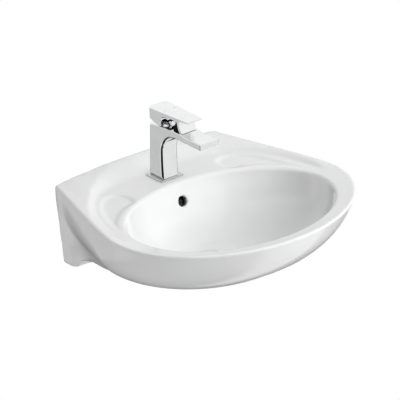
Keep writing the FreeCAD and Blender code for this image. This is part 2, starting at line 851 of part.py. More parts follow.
def handle_outline():
    """Side view: flat blade on top, hooked back, and a front wall that carries on the spout's sweep."""
    back_top = sw(handle_back, handle_back_top)
    back_low = sw(handle_back + 1.5, 13.0)
    heel = sw(-8.5, 5.2)
    toe = sw(bite_start + 1.0, handle_gap)
    front_foot = sw(handle_front_s, handle_gap)
    front_mid = sw(handle_front_s - 5.2, 8.6)
    front_high = sw(handle_front_s - 8.2, 18.5)
    root = sw(handle_front_s - 4.5, 22.6)
    tip_low = sw(handle_tip_s - 1.2, handle_tip_w - blade_tip_t)
    tip_top = sw(handle_tip_s, handle_tip_w)
    root_mid = sw(handle_front_s - 7.2, 21.6)
    return [
        line(tip_top, back_top),
        line(back_top, back_low),
        line(back_low, heel),
        line(heel, toe),
        line(toe, front_foot),
        Part.Arc(front_foot, front_mid, front_high).toShape(),
        Part.Arc(front_high, root_mid, root).toShape(),
        line(root, tip_low),
        line(tip_low, tip_top),
    ]


def handle_plan():
    """Seen from above: full width over the body, narrowing to the tip, back corners clipped."""
    half = handle_width / 2.0
    tip = handle_tip_width / 2.0
    clip = 5.0
    right = [sw(handle_back - 0.5, 0), sw(handle_back + clip, 0), sw(handle_tip_s + 0.5, 0)]
    widths = [half - clip, half, tip]
    outline = [Vector(x, p.y, 0) for x, p in zip(widths, right)]
    outline += [Vector(-p.x, p.y, 0) for p in reversed(outline)]
    outline.append(outline[0])
    face = Part.Face(Part.makePolygon(outline))
    return face.extrude(Vector(0, 0, 60.0))


def handle_bite(half):
    """Arched opening through the handle's sides, over the dome."""
    a = sw(bite_start, -1.0)
    b = sw(bite_start + 1.5, 9.0)
    top_mid = sw(bite_start + 7.0, 18.5)
    c = sw(bite_start + 18.0, roof_w)
    d = sw(bite_end - 7.0, roof_w - 1.5)
    e = sw(bite_end - 3.0, 17.0)
    f = sw(handle_front_s - 9.5, 6.0)
    g = sw(handle_front_s - 5.5, -1.0)
    edges = [line(a, b), Part.Arc(b, top_mid, c).toShape(), line(c, d), line(d, e), line(e, f), line(f, g),
             line(g, a)]
    return side_face(edges, half)


def handle_socket():
    """Boss under the roof that holds the top of the stem."""
    outer = stem_side_half() + 3.0
    boss = block(-outer, outer, -outer, outer, pivot_w + 17.0, roof_w + 6.0)
    return lean_about_pivot(boss)


def lever_handle():
    form = side_face(handle_outline(), handle_width).common(handle_plan())
    top = [e for e in form.Edges if e.BoundBox.ZMin > handle_tip_w - 1.0 and e.BoundBox.YLength > 60.0]
    form = form.makeFillet(0.8, top)
    inner = handle_width / 2.0 - handle_wall
    room = block(-inner, inner, -(bite_start + 18.0), -(handle_back + 6.0), -1.0, roof_w)
    room = room.common(side_face(handle_room_outline(), inner))
    boss = handle_socket().common(block(-inner, inner, -60, 60, 0, roof_w + 2.0))
    form = form.cut(room).cut(handle_bite(handle_width)).fuse(boss).removeSplitter()
    half = stem_side_half()
    hole = lean_about_pivot(block(-half, half, -half, half, pivot_w + 10.0, stem_top))
    screw_way = lean_about_pivot(grub_screw_form(12.0))
    form = form.cut(hole).cut(screw_way)
    for dot in dot_places():
        form = form.cut(rod(dot_r, dot[0], -dot[1], handle_top_at(dot[1]) - dot_height, 60.0))
    return at_head(form)


def handle_room_outline():
    """Hollow of the rear half, following its sloping underside, open below to clear the dome."""
    a = sw(handle_back + 5.0, 15.5)
    b = sw(floor_end, 9.2)
    c = sw(bite_start + 1.0, -1.0)
    d = sw(bite_start + 18.0, -1.0)
    e = sw(bite_start + 18.0, roof_w)
    f = sw(handle_back + 5.0, roof_w)
    down = sw(floor_end, -3.0)
    return [line(a, b), line(b, down), line(down, c), line(c, d), line(d, e), line(e, f), line(f, a)]


def handle_top_at(s):
    share = (s - handle_back) / (handle_tip_s - handle_back)
    return handle_back_top + (handle_tip_w - handle_back_top) * share


def dot_places():
    """Temperature dots: across from each other on the handle's top."""
    return ((-11.0, 9.0), (11.0, 9.0))


def index_dot(place):
    x, s = place
    top = handle_top_at(s)
    return at_head(rod(dot_r, x, -s, top - dot_height, top + 0.1))


def grub_screw_form(length):
    half = stem_side_half()
    level = pivot_w + 19.5
    return Part.makeCylinder(2.0, length, Vector(0, half, level), Vector(0, 1, 0))


def grub_screw():
    screw = grub_screw_form(4.0)
    key = Part.makeCylinder(1.0, 3.0, Vector(0, stem_side_half() + 2.5, pivot_w + 19.5), Vector(0, 1, 0))
    return at_head(lean_about_pivot(screw.cut(key)))


# ---- waste ----

seat_z = bowl_floor_z - waste_seat_depth
flange_low = seat_z + waste_seal_t
flange_top = flange_low + waste_flange_t
tube_in_r = waste_tube_r - waste_tube_wall
china_low_z = -shell_depth
hub_above_end = 30.0           # top of the click housing above the tube's end
hub_z = waste_bottom_z + hub_above_end
hub_height = 18.0
hub_wall = 2.0
collar_step = 2.4              # the stem's collar, which meets the housing's roof at full lift
collar_t = 1.5


def waste_seal():
    return tube(waste_seat_r - 2.5, waste_neck_r + 0.4, 0, waste_y, seat_z, flange_low)


def waste_body():
    """Flanged tube with two overflow windows and a hub on three arms for the click mechanism."""
    body = rod(waste_flange_r, 0, waste_y, flange_low, flange_top)
    tail_top = china_low_z - waste_gasket_t - waste_nut_t - waste_relief
    neck = rod(waste_neck_r, 0, waste_y, tail_top, flange_low)
    tail = rod(waste_tube_r, 0, waste_y, waste_bottom_z, tail_top)
    body = body.fuse([neck, tail]).removeSplitter()
    body = body.cut(rod(tube_in_r, 0, waste_y, waste_bottom_z - 1.0, flange_top + 1.0))
    window_top = seat_z - window_below_seat
    window = block(-waste_tube_r - 2.0, waste_tube_r + 2.0, waste_y - window_width / 2.0,
                   waste_y + window_width / 2.0, window_top - window_height, window_top)
    turned = window.copy()
    turned.rotate(Vector(0, waste_y, 0), Vector(0, 0, 1), 90.0)
    body = body.cut(window).cut(turned)
    arms = []
    for i in range(3):
        arm = block(click_r, tube_in_r + 0.8, -1.0, 1.0, hub_z - hub_height, hub_z - 4.0)
        arm.rotate(Vector(0, 0, 0), Vector(0, 0, 1), 90.0 + 120.0 * i)
        arm.translate(Vector(0, waste_y, 0))
        arms.append(arm)
    arms.append(tube(click_r + hub_wall, click_r, 0, waste_y, hub_z - hub_height, hub_z - 4.0))
    return body.fuse(arms).removeSplitter()


def waste_gasket():
    """Tapered rubber ring pressed against the underside."""
    top = china_low_z
    low = top - waste_gasket_t
    cone = Part.makeCone(waste_tube_r + 8.0, waste_tube_r + 10.0, waste_gasket_t, Vector(0, waste_y, low))
    return cone.cut(rod(waste_neck_r + 0.1, 0, waste_y, low - 1.0, top + 1.0))


def waste_back_nut():
    top = china_low_z - waste_gasket_t
    nut = hexagon(waste_nut_across, 0, waste_y, top - waste_nut_t, top)
    nut = nut.common(Part.makeCone(waste_nut_across / 2.0 + 1.5, waste_nut_across / 2.0 + 4.5, waste_nut_t,
                                   Vector(0, waste_y, top - waste_nut_t)))
    return nut.cut(rod(waste_neck_r + 0.05, 0, waste_y, top - waste_nut_t - 1.0, top + 1.0))


def click_housing():
    """Screwed into the hub: a cup with a guide bore for the plug's stem."""
    low = hub_z - hub_height - 1.5
    shell = rod(click_r, 0, waste_y, low, hub_z - 4.0)
    shell = shell.fuse(rod(click_r + 1.5, 0, waste_y, hub_z - 4.0, hub_z)).removeSplitter()
    room = rod(click_r - 1.5, 0, waste_y, low + 1.5, hub_z - 2.0)
    guide = rod(plug_stem_r + running_clearance, 0, waste_y, hub_z - 6.0, hub_z + 1.0)
    return shell.cut(room).cut(guide)


stem_low_z = hub_z - hub_height + plug_travel - 2.0


def plug_stem():
    """Brass stem with a collar that keeps it in the click housing."""
    top = flange_top + 1.0
    pin = rod(plug_stem_r, 0, waste_y, stem_low_z, top)
    collar = rod(plug_stem_r + collar_step, 0, waste_y, stem_low_z, stem_low_z + collar_t)
    return pin.fuse(collar).removeSplitter()


def plug():
    """Round cap that lies in the flange when the waste is shut."""
    low = flange_top + part_gap
    disc = rod(plug_r, 0, waste_y, low, low + plug_t)
    edge = [e for e in disc.Edges if e.BoundBox.ZMin > low + plug_t - 0.01]
    disc = disc.makeFillet(plug_t * 0.6, edge)
    skirt = tube(tube_in_r - 2.5, tube_in_r - 4.0, 0, waste_y, low - 5.0, low)
    boss = rod(plug_stem_r + 3.0, 0, waste_y, low - 5.0, low)
    body = disc.fuse([skirt, boss]).removeSplitter()
    return body.cut(rod(plug_stem_r, 0, waste_y, low - 6.0, flange_top + 1.0))


def plug_seal():
    low = flange_top + part_gap
    return tube(tube_in_r - 0.4, tube_in_r - 2.5, 0, waste_y, low - 3.5, low - 1.2)


spring_turns = 4
spring_wire_r = 0.5


def tangent_arc(start, direction, end):
    """Arc that leaves start along direction and ends at end."""
    chord = end - start
    side = direction.cross(chord).cross(direction).normalize()
    r = chord.dot(chord) / (2.0 * chord.dot(side))
    centre = start + side * r
    middle = centre + ((start + end) * 0.5 - centre).normalize() * r
    return Part.Arc(start, middle, end).toShape()


def biarc(start, leave, end, arrive):
    """Two arcs from start to end that meet smoothly, by their directions at both ends."""
    chord = end - start
    both = leave + arrive
    square = 2.0 * (1.0 - leave.dot(arrive))
    middle = 2.0 * chord.dot(both)
    reach = (math.sqrt(middle * middle + 4.0 * square * chord.dot(chord)) - middle) / (2.0 * square)
    joint = (start + leave * reach + end - arrive * reach) * 0.5
    onward = (joint - start - leave * reach).normalize()
    return [tangent_arc(start, leave, joint), tangent_arc(joint, onward, end)]


def click_spring():
    """Wire spring under the stem, inside the click housing."""
    coil_r = click_r - 2.6
    low = hub_z - hub_height + spring_wire_r + 0.1
    height = stem_low_z - low - spring_wire_r - part_gap
    climb = height / (2.0 * math.pi * spring_turns)
    path = []
    quarters = 4 * spring_turns
    for i in range(quarters):
        ends = []
        for a in (math.pi / 2.0 * i, math.pi / 2.0 * (i + 1)):
            ends.append(Vector(coil_r * math.cos(a), coil_r * math.sin(a), climb * a))
            ends.append(Vector(-coil_r * math.sin(a), coil_r * math.cos(a), climb).normalize())
        path += biarc(*ends)
    profile = Part.Wire([Part.makeCircle(spring_wire_r, Vector(coil_r, 0, 0), Vector(0, coil_r, climb))])
    wire = Part.Wire(path).makePipeShell([profile], True, False)
    wire.translate(Vector(0, waste_y, low))
    return wire


# ---- write every piece ----

nodes = {
    "basin_body": basin,
    "tap_body": tap_body,
    "tap_base_plate": tap_base_plate,
    "tap_base_gasket": tap_base_gasket,
    "fixing_stud": fixing_stud,
    "fixing_washer_rubber": fixing_washer_rubber,
    "fixing_washer_steel": fixing_washer_steel,
    "fixing_nut": fixing_nut,
    "aerator_housing": aerator_housing,
    "aerator_insert": aerator_insert,
    "aerator_washer": aerator_washer,
    "cartridge_seals": cartridge_seals,
    "cartridge_base": cartridge_base,
    "disc_fixed": disc_fixed,
    "disc_moving": disc_moving,
    "disc_carrier": disc_carrier,
    "cartridge_housing": cartridge_housing,
    "stem_carrier": stem_carrier,
    "stem_pin": stem_pin,
    "stem": stem,
    "retaining_nut": retaining_nut,
    "cartridge_dome": cartridge_dome,
    "lever_handle": lever_handle,
    "grub_screw": grub_screw,
    "index_dot_left": lambda: index_dot(dot_places()[0]),
    "index_dot_right": lambda: index_dot(dot_places()[1]),
    "waste_seal": waste_seal,
    "waste_body": waste_body,
    "waste_gasket": waste_gasket,
    "waste_back_nut": waste_back_nut,
    "click_housing": click_housing,
    "click_spring": click_spring,
    "plug_stem": plug_stem,
    "plug": plug,
    "plug_seal": plug_seal,
}

os.makedirs("parts", exist_ok=True)
for name, make in nodes.items():
    shape = make()
    shape.exportStep("parts/" + name + ".step")
    print(name, shape.isValid(), len(shape.Solids), round(shape.Volume / 1000.0, 2), "cm3")
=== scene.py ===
import json
import math
import bpy
import numpy as np
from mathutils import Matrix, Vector


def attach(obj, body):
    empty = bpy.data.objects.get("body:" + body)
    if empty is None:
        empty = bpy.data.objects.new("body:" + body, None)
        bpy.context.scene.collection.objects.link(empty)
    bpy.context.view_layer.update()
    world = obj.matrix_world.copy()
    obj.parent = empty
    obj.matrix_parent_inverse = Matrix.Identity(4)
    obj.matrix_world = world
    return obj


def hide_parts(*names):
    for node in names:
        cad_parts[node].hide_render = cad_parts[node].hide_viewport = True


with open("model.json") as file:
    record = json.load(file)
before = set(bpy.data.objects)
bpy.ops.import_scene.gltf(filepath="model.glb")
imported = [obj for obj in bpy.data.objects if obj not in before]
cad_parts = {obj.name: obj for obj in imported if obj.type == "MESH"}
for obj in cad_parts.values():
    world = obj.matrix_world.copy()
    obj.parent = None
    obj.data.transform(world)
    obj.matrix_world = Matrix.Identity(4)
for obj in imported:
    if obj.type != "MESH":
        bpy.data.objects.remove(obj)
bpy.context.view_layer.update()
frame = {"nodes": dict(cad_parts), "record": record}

scene = bpy.context.scene


class Value:
    # a socket that can be written in expressions
    def __init__(self, tree, socket):
        self.tree = tree
        self.socket = socket

    def math(self, operation, other=None, swap=False):
        node = self.tree.nodes.new("ShaderNodeMath")
        node.operation = operation
        for index, part in enumerate([other, self] if swap else [self, other]):
            if isinstance(part, Value):
                self.tree.links.new(part.socket, node.inputs[index])
            elif part is not None:
                node.inputs[index].default_value = part
        return Value(self.tree, node.outputs[0])

    def __add__(self, other):
        return self.math("ADD", other)

    def __radd__(self, other):
        return self.math("ADD", other, swap=True)

    def __sub__(self, other):
        return self.math("SUBTRACT", other)

    def __rsub__(self, other):
        return self.math("SUBTRACT", other, swap=True)

    def __mul__(self, other):
        return self.math("MULTIPLY", other)

    def __rmul__(self, other):
        return self.math("MULTIPLY", other, swap=True)

    def __truediv__(self, other):
        return self.math("DIVIDE", other)

    def __neg__(self):
        return self.math("MULTIPLY", -1.0)

    def clamp(self):
        return self.math("MAXIMUM", 0.0).math("MINIMUM", 1.0)

    def step(self, low, high):  # 0 below low, 1 above high, smooth between
        share = ((self - low) / (high - low)).clamp()
        return share * share * (3.0 - 2.0 * share)


class Finish:
    # the node tree of one material, or of the world, with one method for any node
    def __init__(self, name, kind="materials", end="ShaderNodeOutputMaterial"):
        self.owner = getattr(bpy.data, kind).new(name)
        self.owner.use_nodes = True
        self.tree = self.owner.node_tree
        self.tree.nodes.clear()
        self.output = self.tree.nodes.new(end)

    def node(self, kind, settings=None, **sockets):
        # a socket is named by its words, as Base_Color, or by its number, as i2
        made = self.tree.nodes.new(kind)
        for key, value in (settings or {}).items():
            setattr(made, key, value)
        for key, value in sockets.items():
            target = made.inputs[int(key[1:]) if key[1:].isdigit() else key.replace("_", " ")]
            value = value.socket if isinstance(value, Value) else value
            if isinstance(value, bpy.types.NodeSocket):
                self.tree.links.new(value, target)
            else:
                target.default_value = value
        return made

    def place(self):
        return self.node("ShaderNodeTexCoord").outputs["Object"]

    def axes(self):
        split = self.node("ShaderNodeSeparateXYZ", Vector=self.place())
        return [Value(self.tree, split.outputs[i]) for i in range(3)]

    def noise(self, scale, detail=2.0, roughness=0.5):
        made = self.node("ShaderNodeTexNoise", Vector=self.place(), Scale=scale, Detail=detail,
                         Roughness=roughness)
        return Value(self.tree, made.outputs["Fac"])

    def mixColour(self, factor, first, second):
        return self.node("ShaderNodeMix", {"data_type": "RGBA"}, i0=factor, i6=first, i7=second).outputs[2]

    def bump(self, height, strength, distance):
        return self.node("ShaderNodeBump", Height=height, Strength=strength, Distance=distance).outputs[0]

    def whiteBehind(self, lit, seen):
        # lit for light on the object, seen for the camera and for what shows through or in the object
        path = self.node("ShaderNodeLightPath")
        rays = Value(self.tree, path.outputs["Is Camera Ray"])
        for name in ("Is Glossy Ray", "Is Transmission Ray"):
            rays = rays.math("MAXIMUM", Value(self.tree, path.outputs[name]))
        return self.close(self.node("ShaderNodeMixShader", i0=rays, i1=lit.outputs[0], i2=seen.outputs[0]))

    def surface(self, **sockets):
        return self.close(self.node("ShaderNodeBsdfPrincipled", **sockets))

    def close(self, shader):
        self.tree.links.new(shader.outputs[0], self.output.inputs["Surface"])
        return self.owner


def dimmed(tone, share):
    return tuple(v * share for v in tone[:3]) + (1.0,)


# the basin's form as one smooth field, in millimetres

china = {
    "cell": 2.9,  # mesh spacing
    "triangles": 185000,  # kept after the hidden hollow is thinned
    "edgeR": 4.6,  # rounding of the rim's outer edge
    "bowlEdgeR": 6.0,
    "width": 252.5,
    "front": 186.0,
    "centreY": -250.0,
    "wallHalf": 184.0,
    "ease": 39.5,
    "depth": 157.0,
    "rimSlope": 0.337,  # how fast the rim narrows towards the wall
    "shift": 72.0,  # how far the middle moves back towards the bottom
    "widthPower": 3.25,
    "frontPower": 3.85,
    "wallTaper": 0.4,
    "cornerBack": 42.0,
    "cornerR": 60.0,
    "wall": 10.0,
    "hollowR": 12.0,
    "deckZ": -6.5,
    "deckUnder": -20.0,
    "dishDepth": 3.2,
    "dishSlope": 10.0,
    "archHeight": 9.5,
    "archFade": 96.0,
    "rimFlat": 3.0,
    "rimFade": (205.0, 262.0),  # from here forwards the top is the rim alone
    "topBlur": 2.2,
    "bowl": (205.5, 144.0, -260.0, -6.0, -125.0),  # half width, half length, centre y, edge z, floor z
    "bowlPower": 2.4,
    "bowlLean": 0.058,
    "bowlShift": 3.5,
    "bowlWall": 11.0,
    "wasteY": -208.0,
    "seatZ": -129.0,
    "glazeWhite": (0.88, 0.882, 0.885, 1.0),
    "glazeRoughness": 0.13,
    "ductPaintedShade": (0.012, 0.012, 0.012, 1.0),  # black paint that stands for the shade inside the overflow hole
}

# recess round the deck, left half seen from above, from the back to the side
recessTop = [
    (0, -5), (-18, -6), (-40, -6.5), (-58, -7.5), (-83, -15), (-100, -22),
    (-122, -36), (-144, -51), (-162, -68), (-182, -89), (-200, -111), (-211, -128),
    (-220, -147), (-230, -182), (-236, -215), (-238, -240), (-237, -275),
]
recessFoot = [
    (0, -62), (-26, -62), (-59, -57), (-83, -57), (-109, -60), (-126, -65),
    (-142, -70), (-157, -82), (-171, -97), (-183, -113), (-196, -134), (-205, -154),
    (-215, -182), (-221, -203), (-225, -225), (-226, -245), (-224, -275),
]
dishEdge = [
    (-101, -112), (-104, -95), (-114, -84), (-128, -80), (-145, -83), (-160, -93),
    (-176, -112), (-190, -137), (-200, -165), (-207, -195), (-206, -216), (-200, -203),
    (-186, -179), (-160, -156), (-136, -142), (-114, -136), (-103, -126),
]
archHeights = [
    (0, 1.0), (60, 1.0), (82, 0.88), (105, 0.72), (130, 0.56), (150, 0.44),
    (168, 0.2), (180, 0.04), (260, 0.0),
]


def smoothStep(value, low, high):
    share = np.clip((value - low) / (high - low), 0.0, 1.0)
    return share * share * (3.0 - 2.0 * share)


def roundMeet(a, b, r):  # keep what is inside both, with a rounded edge
    u = np.maximum(a + r, 0.0)
    v = np.maximum(b + r, 0.0)
    return np.minimum(np.maximum(a, b), -r) + np.sqrt(u * u + v * v)


def softJoin(a, b, k):  # keep both, with a hollow blend
    h = np.clip(0.5 + 0.5 * (b - a) / k, 0.0, 1.0)
    return b * (1.0 - h) + a * h - k * h * (1.0 - h)


def smoothLine(points, closed=False, per=12):
    # a curve through the points, as many short pieces
    p = np.array(points, float)
    count = len(p)
    rows = []
    spans = count if closed else count - 1
    for i in range(spans):
        a, b = p[i], p[(i + 1) % count]
        before = p[i - 1] if closed or i > 0 else 2 * a - b
        after = p[(i + 2) % count] if closed or i + 2 < count else 2 * b - a
        for t in np.arange(per) / per:
            rows.append(0.5 * ((2 * a) + (b - before) * t + (2 * before - 5 * a + 4 * b - after) * t ** 2
                               + (3 * a - before - 3 * b + after) * t ** 3))
    if not closed:
        rows.append(p[-1])
    return np.array(rows)


def lineDistance(points, x, y, closed=False):
    # unsigned distance from each grid point to a chain of segments
    ends = np.roll(points, -1, axis=0) if closed else points[1:]
    starts = points if closed else points[:-1]
    best = np.full(x.shape, 1e9)
    for (ax, ay), (bx, by) in zip(starts, ends):
        dx, dy = bx - ax, by - ay
        t = np.clip(((x - ax) * dx + (y - ay) * dy) / max(1e-9, dx * dx + dy * dy), 0.0, 1.0)
        best = np.minimum(best, (x - ax - t * dx) ** 2 + (y - ay - t * dy) ** 2)
    return np.sqrt(best)


def insideOf(points, x, y):
    inside = np.zeros(x.shape, bool)
    ends = np.roll(points, -1, axis=0)
    for (ax, ay), (bx, by) in zip(points, ends):
        crosses = (ay > y) != (by > y)
        at = ax + (y - ay) * (bx - ax) / (by - ay if abs(by - ay) > 1e-9 else 1e-9)
        inside ^= crosses & (x < at)
    return inside


def ellipseField(x, y, a, b):
    k1 = np.sqrt((x / a) ** 2 + (y / b) ** 2) + 1e-9
    k2 = np.sqrt((x / a ** 2) ** 2 + (y / b ** 2) ** 2) + 1e-12
    return k1 * (k1 - 1.0) / k2


def band(value, rise, fall):  # 0, up to 1 over the rise, and down again over the fall
    return smoothStep(value, *rise) * (1.0 - smoothStep(value, *fall))


def level(points, z):  # a value read off a list of heights and values
    return np.interp(z, [p[0] for p in points], [p[1] for p in points])


def rimHalf(y, c):
    return c["width"] - c["rimSlope"] * (np.hypot(y - c["centreY"], c["ease"]) - c["ease"])


class TopSurface:
    # height of the rim, deck, recess and soap dishes over the plan
    def __init__(self, c):
        self.step = 1.5
        xs = np.arange(0.0, 264.0, self.step)
        ys = np.arange(-444.0, 12.0, self.step)
        self.x0, self.y0 = xs[0], ys[0]
        x, y = np.meshgrid(-xs, ys, indexing="ij")
        top = smoothLine(recessTop)
        foot = smoothLine(recessFoot)
        toTop = lineDistance(top, x, y)
        toFoot = lineDistance(foot, x, y)
        around = [(-400, -275), (-400, 200), (60, 200)]
        outside = insideOf(np.vstack([top, around, [(60, top[0, 1])]]), x, y)
        within = ~insideOf(np.vstack([foot, around, [(60, foot[0, 1])]]), x, y)
        share = toFoot / (toFoot + toTop + 1e-6)
        share = np.where(outside, 1.0, np.where(within, 0.0, share))
        ease = smoothStep(share, 0.0, 1.0) * 0.55 + share * 0.45
        arch = level(archHeights, -x) * c["archHeight"]
        high = arch * (1.0 - smoothStep(-y, 0.0, c["archFade"]))
        deck = c["deckZ"] + (high - c["deckZ"]) * ease
        bowlA, bowlB, bowlY, edgeZ, _ = c["bowl"]
        toBowl = np.maximum(ellipseField(x, y - bowlY, bowlA, bowlB), 0.0)
        atFront = -ellipseField(x, y - c["centreY"], c["width"], c["front"])
        toOuter = np.where(y < c["centreY"], atFront, rimHalf(y, c) + x)
        toOuter = np.maximum(toOuter - c["rimFlat"], 0.0)
        fall = toOuter / (toOuter + toBowl + 1e-6)
        rim = edgeZ * fall ** 0.9
        front = smoothStep(-y, *c["rimFade"])
        height = deck * (1.0 - front) + rim * front
        dish = smoothLine(dishEdge, closed=True)
        depth = lineDistance(dish, x, y, closed=True)
        inDish = insideOf(dish, x, y)
        height = height - c["dishDepth"] * np.where(inDish, smoothStep(depth, 0.0, c["dishSlope"]), 0.0)
        self.height = self.blur(height, c["topBlur"])

    def blur(self, grid, sigma):
        reach = int(math.ceil(3.0 * sigma / self.step))
        weights = np.exp(-0.5 * (np.arange(-reach, reach + 1) * self.step / sigma) ** 2)
        weights /= weights.sum()
        wide = np.concatenate([grid[reach:0:-1], grid, np.repeat(grid[-1:], reach, axis=0)])
        done = sum(w * wide[i:i + grid.shape[0]] for i, w in enumerate(weights))
        first = np.repeat(done[:, :1], reach, axis=1)
        last = np.repeat(done[:, -1:], reach, axis=1)
        tall = np.concatenate([first, done, last], axis=1)
        return sum(w * tall[:, i:i + grid.shape[1]] for i, w in enumerate(weights))

    def at(self, x, y):
        u = np.clip((np.abs(x) - self.x0) / self.step, 0, self.height.shape[0] - 1.001)
        v = np.clip((y - self.y0) / self.step, 0, self.height.shape[1] - 1.001)
        i, j = u.astype(int), v.astype(int)
        fu, fv = u - i, v - j
        g = self.height
        return (g[i, j] * (1 - fu) * (1 - fv) + g[i + 1, j] * fu * (1 - fv)
                + g[i, j + 1] * (1 - fu) * fv + g[i + 1, j + 1] * fu * fv)


def shellField(x, y, z, c, inset):
    depth = c["depth"] - inset
    share = np.clip(-z / depth, 0.0, 1.0)
    lost = share ** c["widthPower"]
    half = np.maximum((c["width"] - inset) * (1.0 - lost), 3.0)
    reach = np.maximum((c["front"] - inset) * (1.0 - share ** c["frontPower"]), 3.0)
    centre = c["centreY"] + c["shift"] * share
    atBack = np.minimum((c["wallHalf"] - inset) * (1.0 - c["wallTaper"] * share ** 2), 0.8 * half)
    run = np.maximum(np.hypot(centre, c["ease"]) - c["ease"], 1.0)
    slope = (half - atBack) / run
    side = x - (half - slope * (np.hypot(y - centre, c["ease"]) - c["ease"]))
    side = side / np.sqrt(1.0 + slope ** 2)
    side = roundMeet(side, y - c["cornerBack"], np.minimum(c["cornerR"], 0.7 * half))
    ahead = ellipseField(x, y - centre, half, reach)
    field = np.where(y < centre, ahead, side)
    lean = (c["width"] - inset) * c["widthPower"] * share ** (c["widthPower"] - 1.0) / depth
    return field / np.sqrt(1.0 + lean ** 2) + np.maximum(-z - depth, 0.0)


def bowlPlan(z, c):
    # half length and middle of the bowl by level: its back and front walls lean more than its sides
    a, b, midY, edgeZ, floorZ = c["bowl"]
    down = np.clip((edgeZ - z) / (edgeZ - floorZ), 0.0, 1.0)
    lean = smoothStep(down, -0.1, 0.34) * (1.0 - smoothStep(down, 0.5, 0.95))
    middle = midY + (c["wasteY"] - midY) * down ** 7.0 - c["bowlShift"] * lean
    return b * (1.0 - c["bowlLean"] * lean), middle, down


def bowlField(x, y, z, c, grow):
    a, b, midY, edgeZ, floorZ = c["bowl"]
    b, centre, down = bowlPlan(z, c)
    power = c["bowlPower"]
    kx = np.abs(x) / (a + grow)
    ky = np.abs(y - centre) / (b + grow)
    kz = np.maximum(edgeZ - z, 0.0) / (edgeZ - floorZ + grow)
    around = np.sqrt(kx ** 2 + ky ** 2)
    total = (around ** power + kz ** power) ** (1.0 / power)
    gx = around ** (power - 1.0) * np.sqrt((kx / (a + grow)) ** 2 + (ky / (b + grow)) ** 2) / (around + 1e-6)
    gz = kz ** (power - 1.0) / (edgeZ - floorZ + grow)
    slope = np.sqrt(gx ** 2 + gz ** 2) * (total + 1e-6) ** (1.0 - power)
    return (total - 1.0) / (slope + 1e-6)


def boxField(x, y, z, low, high, r):
    mx, my, mz = [(a + b) / 2.0 for a, b in zip(low, high)]
    hx, hy, hz = [(b - a) / 2.0 - r for a, b in zip(low, high)]
    dx, dy, dz = np.abs(x - mx) - hx, np.abs(y - my) - hy, np.abs(z - mz) - hz
    out = np.sqrt(np.maximum(dx, 0) ** 2 + np.maximum(dy, 0) ** 2 + np.maximum(dz, 0) ** 2)
    return out + np.minimum(np.maximum(dx, np.maximum(dy, dz)), 0.0) - r


foot = {
    "inner": 127.0,
    "bottomZ": -155.0,
    "outer": [(-155, 167.0), (-145, 168.6), (-108, 172.4), (-68, 176.2), (-27, 179.4), (0, 180.0)],
    "reach": [(-155, 32.0), (-125, 36.0), (-100, 42.0), (-70, 52.0), (-40, 64.0), (0, 74.0)],
    "blend": 15.0,  # how widely the foot runs into the shell's side
    "valley": 34.0,  # the same lower down, in front of the foot
    "flankBlend": (5.0, 30.0),  # between flank and shell, high up and low down
    "deep": (78.0, 125.0),  # depth over which the joins widen
    "cornerR": 11.0,
    "edgeR": 3.0,
    "softRounds": 130,  # the hollow beside the foot is relaxed, within these bands of x, y and z
    "softX": (118.0, 150.0),
    "softY": ((14.0, 36.0), (140.0, 210.0)),
    "softZ": ((14.0, 40.0), (122.0, 143.0)),
    "keelHalf": 128.0,  # the underside runs back to the wall at this width
    "keelZ": -153.0,
    "keelFront": 175.0,
    "keelEdge": 8.0,
    "keelWall": 12.0,
    "keelTop": -40.0,
    "keelNose": 60.0,
    "keelRise": 0.03,
    "keelNarrow": 40.0,
    "flankInset": 5.0,
    "flankPower": 2.2,
}


def footField(x, y, z):
    field = roundMeet(x - level(foot["outer"], z), -y - level(foot["reach"], z), foot["cornerR"])
    field = roundMeet(field, foot["inner"] - x, foot["edgeR"])
    return roundMeet(field, foot["bottomZ"] - z, foot["edgeR"])


def keelField(x, y, z):
    # the flat part of the underside, between the feet and forward into the round of the shell,
    # with flanks that run up towards the rim
    power = foot["flankPower"]
    share = np.clip(-z / china["depth"], 0.0, 1.0)
    rimX = rimHalf(y, china) - foot["flankInset"]
    lowX = foot["keelHalf"] - foot["keelNarrow"] * smoothStep(-y, 70.0, 190.0)
    lean = (rimX - lowX) * power * share ** (power - 1.0) / china["depth"]
    side = (x - lowX - (rimX - lowX) * (1.0 - share ** power)) / np.sqrt(1.0 + lean ** 2)
    field = roundMeet(side, -y - foot["keelFront"], foot["keelNose"])
    bottom = foot["keelZ"] + foot["keelRise"] * (-y - 32.0)
    field = roundMeet(field, bottom - z, foot["keelEdge"])
    return np.maximum(field, z - foot["keelTop"])


def bowlBackY(z, c):
    half, middle, down = bowlPlan(z, c)
    return middle + half * (1.0 - down ** c["bowlPower"]) ** (1.0 / c["bowlPower"])


cuts = {
    "panel": ((-140, -14, -72), (140, 20, 0)),  # low and high corner of the wall behind the hollow
    "padR": 34.0,  # the thick ring round the waste
    "padBottom": -155.0,
    "ductBack": 16.0,  # middle of the overflow duct, behind the bowl's back wall
    "ductWall": (14.0, 25.0, -20.0, -132.0),  # half depth, half width, top and bottom
    "duct": (5.0, 17.0, -28.0, -108.0),
    "mouth": (-131.0, -39.0, 9.75, 16.0),  # y, z, radius and length of the overflow hole
    "mouthSlant": 0.42,
    "tapHole": (-80.0, 17.5),  # y and radius
    "bolt": (100.0, -50.0, 7.0, 24.0),  # x, z, radius and depth
    "drainR": 23.0,
    "seatR": 34.0,
}


